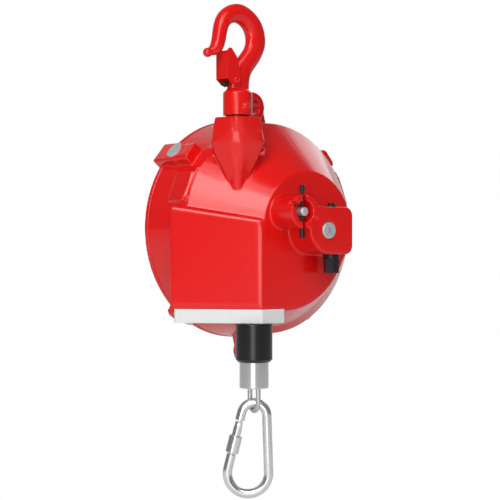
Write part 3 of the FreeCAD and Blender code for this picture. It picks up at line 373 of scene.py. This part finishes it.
def ball(radius, place, flatness=1.0):
    """A ball of the forging in millimetres, flattened along X, at a place in metres."""
    bm = bmesh.new()
    bmesh.ops.create_uvsphere(bm, u_segments=24, v_segments=16, radius=radius * mm)
    bmesh.ops.scale(bm, vec=(flatness, 1, 1), verts=bm.verts)
    bmesh.ops.translate(bm, vec=place, verts=bm.verts)
    return bm


tip_radius, tip_across, tip_rise = 4.7, -37.2, 34.2
tip = ball(tip_radius, Vector((0, tip_across, neck + tip_rise)) * mm)

rivet_radius, rivet_proud = 4, 0.2
pin_low, pin_high = (Vector(corner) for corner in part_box("socket_cross_pin"))
rivet_place = (pin_low + pin_high) / 2
rivet_place.x = pin_high.x + rivet_proud * mm
rivet_dome = ball(rivet_radius, rivet_place, flatness=0.5)

socket_low, socket_radius, socket_shoulder, socket_top_radius = -92.5, 14.6, 3, 11.5
socket_profile = ((0, socket_low), (socket_radius, socket_low), (socket_radius, neck - socket_shoulder),
                  (socket_top_radius, neck), (0, neck))
socket = bmesh.new()
chain = [socket.verts.new((r * mm, 0, z * mm)) for r, z in socket_profile]
rims = [socket.edges.new(pair) for pair in zip(chain, chain[1:])]
bmesh.ops.spin(socket, geom=chain + rims, axis=(0, 0, 1), cent=(0, 0, 0), angle=2 * math.pi, steps=64,
               use_merge=True)
bmesh.ops.remove_doubles(socket, verts=socket.verts, dist=0.01 * mm)
bmesh.ops.recalc_face_normals(socket, faces=socket.faces)

joined(hook, socket, tip, rivet_dome)
cast_skin(hook, 0.55 * mm, rounds=8, share=0.7)
dress(hook, "suspension_hook", "hook", paint)


# ---------------------------------------------------------------------------------------------------
# Latch: a sheet pressing that closes the hook's mouth, on a rivet and with a dark coil spring. The
# pressing, the rivet and the socket's cross pin are painted over with the hook.
# ---------------------------------------------------------------------------------------------------

flat_angle, sharp_angle = math.radians(0.6), math.radians(30)


def broken_edges(piece, width):
    """Smooth round faces and small even bevels on every sharp edge."""
    bm = bmesh.new()
    bm.from_mesh(piece.data)
    bmesh.ops.dissolve_limit(bm, angle_limit=flat_angle, verts=bm.verts, edges=bm.edges)
    sharp = [e for e in bm.edges if len(e.link_faces) == 2 and e.calc_face_angle(0) > sharp_angle]
    bmesh.ops.bevel(bm, geom=sharp, offset=width, offset_type="OFFSET", segments=2, profile=0.5,
                    affect="EDGES", clamp_overlap=True, material=-1)
    bm.to_mesh(piece.data)
    bm.free()
    all_smooth(piece)
    flat = piece.modifiers.new("weights", "WEIGHTED_NORMAL")
    flat.keep_sharp = False
    keep_modifiers(piece)


def machined(name, node, body, coat, edge):
    """A pressed, turned or milled piece: its solid with the edges broken, in its coat and on its body."""
    piece = merged_copy(name, node)
    broken_edges(piece, edge)
    dress(piece, node, body, coat)


def metal(name, low, high, roughness, grain=400, strength=0.15, metallic=1.0):
    """A bare, plated or blackened metal, a little uneven in colour and surface."""
    return coating(name, low, high, roughness, patches=60, metallic=metallic,
                   bump=(grain, strength, 0.08 * mm))


black_steel = metal("blackened steel", (0.006, 0.006, 0.007), (0.012, 0.012, 0.013), 0.34, metallic=0.0)
machined("latch_pressing", "hook_latch", "latch", paint, 0.9 * mm)
machined("latch_rivet_heads", "latch_rivet", "hook", paint, 0.15 * mm)
machined("latch_coil", "latch_spring", "hook", black_steel, 0.05 * mm)
machined("socket_cross_pin_ends", "socket_cross_pin", "hook", paint, 0.2 * mm)


# ---------------------------------------------------------------------------------------------------
# Swivel: a turned stud hangs in the socket and turns in a bronze bush in the tower, on a hard washer.
# A painted pin crosses the tower and holds it.
# ---------------------------------------------------------------------------------------------------

bare_steel = metal("turned steel", (0.50, 0.51, 0.53), (0.62, 0.63, 0.65), 0.28)
bronze = metal("bearing bronze", (0.55, 0.33, 0.13), (0.68, 0.43, 0.18), 0.35)
machined("swivel_stud_turning", "swivel_stud", "hook", bare_steel, 0.3 * mm)
machined("thrust_washer_ring", "thrust_washer", "housing", black_steel, 0.2 * mm)
machined("tower_bush_ring", "tower_bush", "housing", bronze, 0.2 * mm)
machined("swivel_pin_rod", "swivel_pin", "housing", paint, 0.8 * mm)


# ---------------------------------------------------------------------------------------------------
# Fasteners of the housing: bright socket-head screws through the cover's ears into satin cross dowels.
# ---------------------------------------------------------------------------------------------------

zinc = metal("bright zinc", (0.66, 0.67, 0.69), (0.80, 0.81, 0.83), 0.16, metallic=0.88)
satin_zinc = metal("satin zinc", (0.60, 0.61, 0.63), (0.70, 0.71, 0.73), 0.36, metallic=0.55)
machined("cover_screw_set", "cover_screws", "housing", zinc, 0.25 * mm)
machined("ear_dowel_set", "ear_dowels", "housing", satin_zinc, 0.3 * mm)


# ---------------------------------------------------------------------------------------------------
# Rope guide: a thick white plastic plate under the box, milled with the rope's slot and screwed on.
# ---------------------------------------------------------------------------------------------------

plastic = coating("white plastic", (0.74, 0.745, 0.74), (0.79, 0.795, 0.79), roughness=0.42, patches=40,
                  bump=(300, 0.2, 0.2 * mm))
machined("rope_guide_milling", "rope_guide_plate", "housing", plastic, 0.8 * mm)
machined("guide_screw_set", "guide_plate_screws", "housing", zinc, 0.2 * mm)


# ---------------------------------------------------------------------------------------------------
# Drum and mainspring, closed in by the castings: a cast conical drum on a ball bearing and a bush,
# the rope wound on it, and the flat spring between its barrel and the spindle.
# ---------------------------------------------------------------------------------------------------

cast_alloy = metal("cast alloy", (0.50, 0.51, 0.52), (0.62, 0.63, 0.64), 0.45, grain=700, strength=0.3)
blue_steel = metal("blued spring steel", (0.10, 0.12, 0.18), (0.18, 0.20, 0.26), 0.30)
rope_wire = coating("steel wire rope", (0.48, 0.49, 0.50), (0.72, 0.73, 0.74), roughness=0.34, patches=900,
                    metallic=1.0)
machined("drum_casting", "rope_drum", "drum", cast_alloy, 0.6 * mm)
machined("rope_on_drum", "rope_windings", "drum", rope_wire, 0.4 * mm)
machined("barrel_cover", "spring_cover", "drum", zinc, 0.3 * mm)
machined("drum_bush", "drum_rear_bush", "drum", bronze, 0.2 * mm)
machined("drum_ball_bearing", "drum_bearing", "drum", bare_steel, 0.3 * mm)
machined("mainspring_strip", "mainspring", "arbor", blue_steel, 0.1 * mm)


# ---------------------------------------------------------------------------------------------------
# Spindle and worm drive: the bronze wheel is keyed to the spindle, and the blackened worm across it is
# turned by its hexagon to set the spring.
# ---------------------------------------------------------------------------------------------------

machined("spindle_turning", "spindle", "arbor", bare_steel, 0.3 * mm)
machined("wheel_key_bar", "wheel_key", "arbor", bare_steel, 0.15 * mm)
machined("spindle_ring", "spindle_circlip", "arbor", black_steel, 0.1 * mm)
machined("front_bush_ring", "spindle_front_bush", "housing", bronze, 0.2 * mm)
machined("rear_bush_ring", "spindle_rear_bush", "housing", bronze, 0.2 * mm)
machined("worm_wheel_bronze", "worm_wheel", "arbor", bronze, 0.1 * mm)
machined("worm_bush_ring", "worm_bush", "housing", bronze, 0.2 * mm)
machined("worm_turning", "worm", "worm_shaft", black_steel, 0.3 * mm)
machined("worm_ring", "worm_circlip", "worm_shaft", black_steel, 0.1 * mm)
machined("grease_plug_head", "grease_plug", "housing", satin_zinc, 0.25 * mm)


# ---------------------------------------------------------------------------------------------------
# Drum lock: a satin pin in the round boss with a blackened cross bar through it.
# ---------------------------------------------------------------------------------------------------

machined("lock_pin_rod", "lock_pin", "lock", satin_zinc, 0.4 * mm)
machined("lock_cross_bar", "lock_bar", "lock", black_steel, 0.2 * mm)


# ---------------------------------------------------------------------------------------------------
# Load line: a moulded black rubber stop and a pressed ferrule on the rope, which loops under it. The
# rope's straight run stays the frame's own node and only takes the rope's material.
# ---------------------------------------------------------------------------------------------------

rubber = coating("black rubber", (0.003, 0.003, 0.0035), (0.006, 0.006, 0.0065), roughness=0.26, patches=80,
                 bump=(500, 0.15, 0.2 * mm))
ferrule_metal = metal("pressed alloy", (0.66, 0.66, 0.66), (0.76, 0.76, 0.76), 0.24, grain=900)
machined("rubber_stop", "rubber_bumper", "load_line", rubber, 0.5 * mm)
machined("pressed_ferrule", "rope_ferrule", "load_line", ferrule_metal, 0.3 * mm)
machined("rope_bend", "rope_loop", "load_line", rope_wire, 0.1 * mm)
nodes["rope_lead"].data.materials.clear()
nodes["rope_lead"].data.materials.append(rope_wire)


# ---------------------------------------------------------------------------------------------------
# Carabiner: bent and plated steel wire with a forked gate on a rivet and a knurled sleeve.
# ---------------------------------------------------------------------------------------------------

machined("carabiner_wire", "carabiner_body", "carabiner", zinc, 0.3 * mm)
machined("gate_bar", "carabiner_gate", "gate", zinc, 0.25 * mm)
machined("gate_rivet_ends", "gate_rivet", "gate", zinc, 0.1 * mm)
machined("knurled_sleeve", "screw_sleeve", "sleeve", zinc, 0.2 * mm)


# ---------------------------------------------------------------------------------------------------
# Studio: a pale floor under the hanging balancer, a backdrop behind it, soft boxes and a long lens.
# The floor and the world look white, and give the balancer only a plain level of light.
# ---------------------------------------------------------------------------------------------------

room_level, gloss_dimming, gloss_share = 0.22, 0.3, 0.38


def ray_math(tree, operation, *values):
    """The output of a math node on its values, each of them a number or a socket."""
    node = tree.nodes.new("ShaderNodeMath")
    node.operation = operation
    for socket_in, value in zip(node.inputs, values):
        if isinstance(value, (int, float)):
            socket_in.default_value = value
        else:
            tree.links.new(value, socket_in)
    return node.outputs[0]


def seen_rays(tree):
    """One for rays that look at the studio or come through glass, and one for reflections."""
    rays = tree.nodes.new("ShaderNodeLightPath").outputs
    direct = ray_math(tree, "MAXIMUM", rays["Is Camera Ray"], rays["Is Transmission Ray"])
    return direct, rays["Is Glossy Ray"]


def studio_world():
    """White where it is looked at or through, and a dim room for everything else."""
    world = bpy.data.worlds.new("studio")
    scene.world = world
    world.use_nodes = True
    tree = world.node_tree
    background = tree.nodes["Background"]
    background.inputs["Color"].default_value = (1, 1, 1, 1)
    direct, glossy = seen_rays(tree)
    level = ray_math(tree, "MULTIPLY_ADD", direct, 1 - room_level, room_level)
    in_gloss = ray_math(tree, "MULTIPLY_ADD", glossy, -gloss_dimming, 1)
    strength = ray_math(tree, "MULTIPLY", level, in_gloss)
    tree.links.new(strength, background.inputs["Strength"])


def studio_white():
    """White to the camera, partly so in reflections, and plain pale matt to the light."""
    material, bsdf, tree = shader("studio white", 0.8)
    bsdf.inputs["Base Color"].default_value = (0.85, 0.85, 0.85, 1)
    direct, glossy = seen_rays(tree)
    white_part = ray_math(tree, "MAXIMUM", direct, ray_math(tree, "MULTIPLY", glossy, gloss_share))
    glow = tree.nodes.new("ShaderNodeEmission")
    mix = tree.nodes.new("ShaderNodeMixShader")
    tree.links.new(white_part, mix.inputs["Fac"])
    tree.links.new(bsdf.outputs[0], mix.inputs[1])
    tree.links.new(glow.outputs[0], mix.inputs[2])
    tree.links.new(mix.outputs[0], tree.nodes["Material Output"].inputs["Surface"])
    return material


def studio_sheet(name, size, place, tilt, material):
    """A flat square of the studio, turned by its tilt and set at its place."""
    bm = bmesh.new()
    bmesh.ops.create_grid(bm, x_segments=1, y_segments=1, size=size)
    bmesh.ops.transform(bm, matrix=Matrix.Translation(place) @ tilt, verts=bm.verts)
    mesh = bpy.data.meshes.new(name)
    bm.to_mesh(mesh)
    bm.free()
    sheet = bpy.data.objects.new(name, mesh)
    scene.collection.objects.link(sheet)
    mesh.materials.append(material)


def soft_box(name, place, aim, width, height, watts):
    """A rectangular lamp that points from its place at the aim."""
    light = bpy.data.lights.new(name, "AREA")
    light.shape = "RECTANGLE"
    light.size = width
    light.size_y = height
    light.energy = watts
    lamp = bpy.data.objects.new(name, light)
    lamp.location = place
    lamp.rotation_euler = (Vector(aim) - Vector(place)).to_track_quat("-Z", "Y").to_euler()
    scene.collection.objects.link(lamp)


cad_low, cad_high = cad_box
middle = (Vector(cad_low) + Vector(cad_high)) / 2
view_turn = math.radians(51.64)
ahead = Vector((-math.sin(view_turn), math.cos(view_turn), 0))
upright = Matrix.Rotation(view_turn, 4, "Z") @ Matrix.Rotation(math.pi / 2, 4, "X")
floor_drop, backdrop_distance = 0.15, 2.5
studio_world()
white = studio_white()
studio_sheet("floor", 12, (0, 0, cad_low[2] - floor_drop), Matrix.Identity(4), white)
studio_sheet("backdrop", 3, middle + ahead * backdrop_distance, upright, white)
soft_box("key", (0.95, -1.60, 0.85), middle, width=0.9, height=1.5, watts=17)
soft_box("overhead", (1.5, -1.1, 1.6), middle, width=2.2, height=1.6, watts=24)
soft_box("back", (-0.8, 1.8, 0.75), middle, width=1.4, height=0.9, watts=3.5)
soft_box("low fill", (1.4, -1.4, -1.2), middle, width=1.2, height=0.8, watts=7)
soft_box("strip", (1.25, -1.25, -0.3), middle, width=0.7, height=0.9, watts=5.5)

lens = bpy.data.cameras.new("long lens")
lens.lens = 108.5
camera = bpy.data.objects.new("camera", lens)
camera.location = (1.181, -0.919, -0.226)
camera.rotation_euler = (math.radians(90), 0, view_turn)
scene.collection.objects.link(camera)
scene.camera = camera
